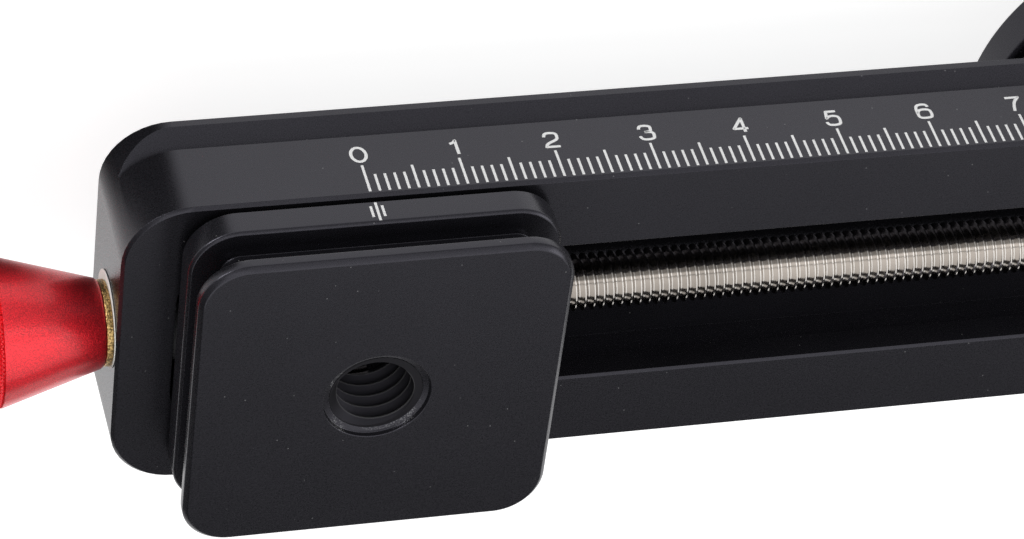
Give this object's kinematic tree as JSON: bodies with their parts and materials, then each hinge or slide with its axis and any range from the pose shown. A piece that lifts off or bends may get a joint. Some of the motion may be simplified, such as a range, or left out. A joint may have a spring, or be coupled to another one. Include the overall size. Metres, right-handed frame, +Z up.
{
  "type": "macro focus rail",
  "caption": "Screw-driven macro focus rail: a conical knob turns a lead screw that moves a dovetail carriage along a rail held in a swivelling clamp on a round base.",
  "frame": {"origin": "centre of the round base's underside, at the mouth of its tripod thread and on the swivel axis", "axes": "+X along the rail towards the knob, +Z up towards the carriage, +Y away from the side that carries the scale"},
  "size_m": [0.2829, 0.073, 0.0392],
  "materials": {
    "black_aluminium": "black anodised, satin",
    "red_aluminium": "red anodised, blasted satin",
    "steel": "bright stainless steel",
    "black_steel": "black oxide",
    "brass": "turned brass",
    "white_plastic": "low-friction plastic",
    "black_plastic": "moulded"
  },
  "bodies": {
    "base": {"pan_base": "black_aluminium", "pan_washer": "steel", "pan_screw": "black_steel"},
    "clamp": {"clamp_body": "black_aluminium", "pan_bushing": "brass", "jaw_guide_pins": "steel", "jaw_springs": "steel", "clamp_stud": "steel", "pan_lock_pad": "brass"},
    "pan_lock": {"pan_lock_knob": "black_aluminium"},
    "jaw": {"movable_jaw": "black_aluminium", "clamp_washer": "steel"},
    "jaw_knob": {"clamp_knob": "black_aluminium", "clamp_knob_insert": "brass"},
    "rail": {"rail_body": "black_aluminium", "end_block": "black_aluminium", "end_block_screws": "black_steel", "stop_screws": "black_steel", "front_bushing": "black_plastic", "far_bushing": "black_plastic", "end_plug": "black_plastic", "white_washer": "white_plastic"},
    "spindle": {"lead_screw": "steel", "thrust_collar": "steel", "collar_set_screw": "black_steel", "retaining_ring": "steel", "brass_washer": "brass", "focus_knob": "red_aluminium", "knob_screw": "steel", "knob_cap": "red_aluminium"},
    "carriage": {"carriage_plate": "black_aluminium", "slide_block": "black_aluminium", "slide_liners": "white_plastic", "drive_nut": "brass", "nut_screws": "steel", "carriage_screws": "black_steel"}
  },
  "joints": [
    {"name": "pan_turn", "type": "hinge", "parent": "base", "child": "clamp", "pos_m": [0, 0, 0.01], "axis": [0, 0, 1], "continuous": true},
    {"name": "pan_lock_turn", "type": "hinge", "parent": "clamp", "child": "pan_lock", "pos_m": [0, 0.028, 0.0086], "axis": [0, 1, 0], "range_deg": [0, 360]},
    {"name": "jaw_travel", "type": "slide", "parent": "clamp", "child": "jaw", "axis": [0, -1, 0], "range_m": [0, 0.004]},
    {"name": "jaw_knob_turn", "type": "hinge", "parent": "jaw", "child": "jaw_knob", "pos_m": [0, -0.033, 0.0107], "axis": [0, -1, 0], "range_deg": [-5, 1805]},
    {"name": "rail_shift", "type": "slide", "parent": "clamp", "child": "rail", "axis": [1, 0, 0], "range_m": [-0.093, 0.099]},
    {"name": "focus_turn", "type": "hinge", "parent": "rail", "child": "spindle", "pos_m": [0.13, 0, 0.02504], "axis": [1, 0, 0], "range_deg": [-100, 72010]},
    {"name": "carriage_travel", "type": "slide", "parent": "rail", "child": "carriage", "axis": [-1, 0, 0], "range_m": [-0.00025, 0.2]}
  ],
  "couplings": [
    {"joint": "focus_turn", "follows": "carriage_travel", "rad_per_m": 6283.2},
    {"joint": "jaw_knob_turn", "follows": "jaw_travel", "rad_per_m": 7854}
  ]
}
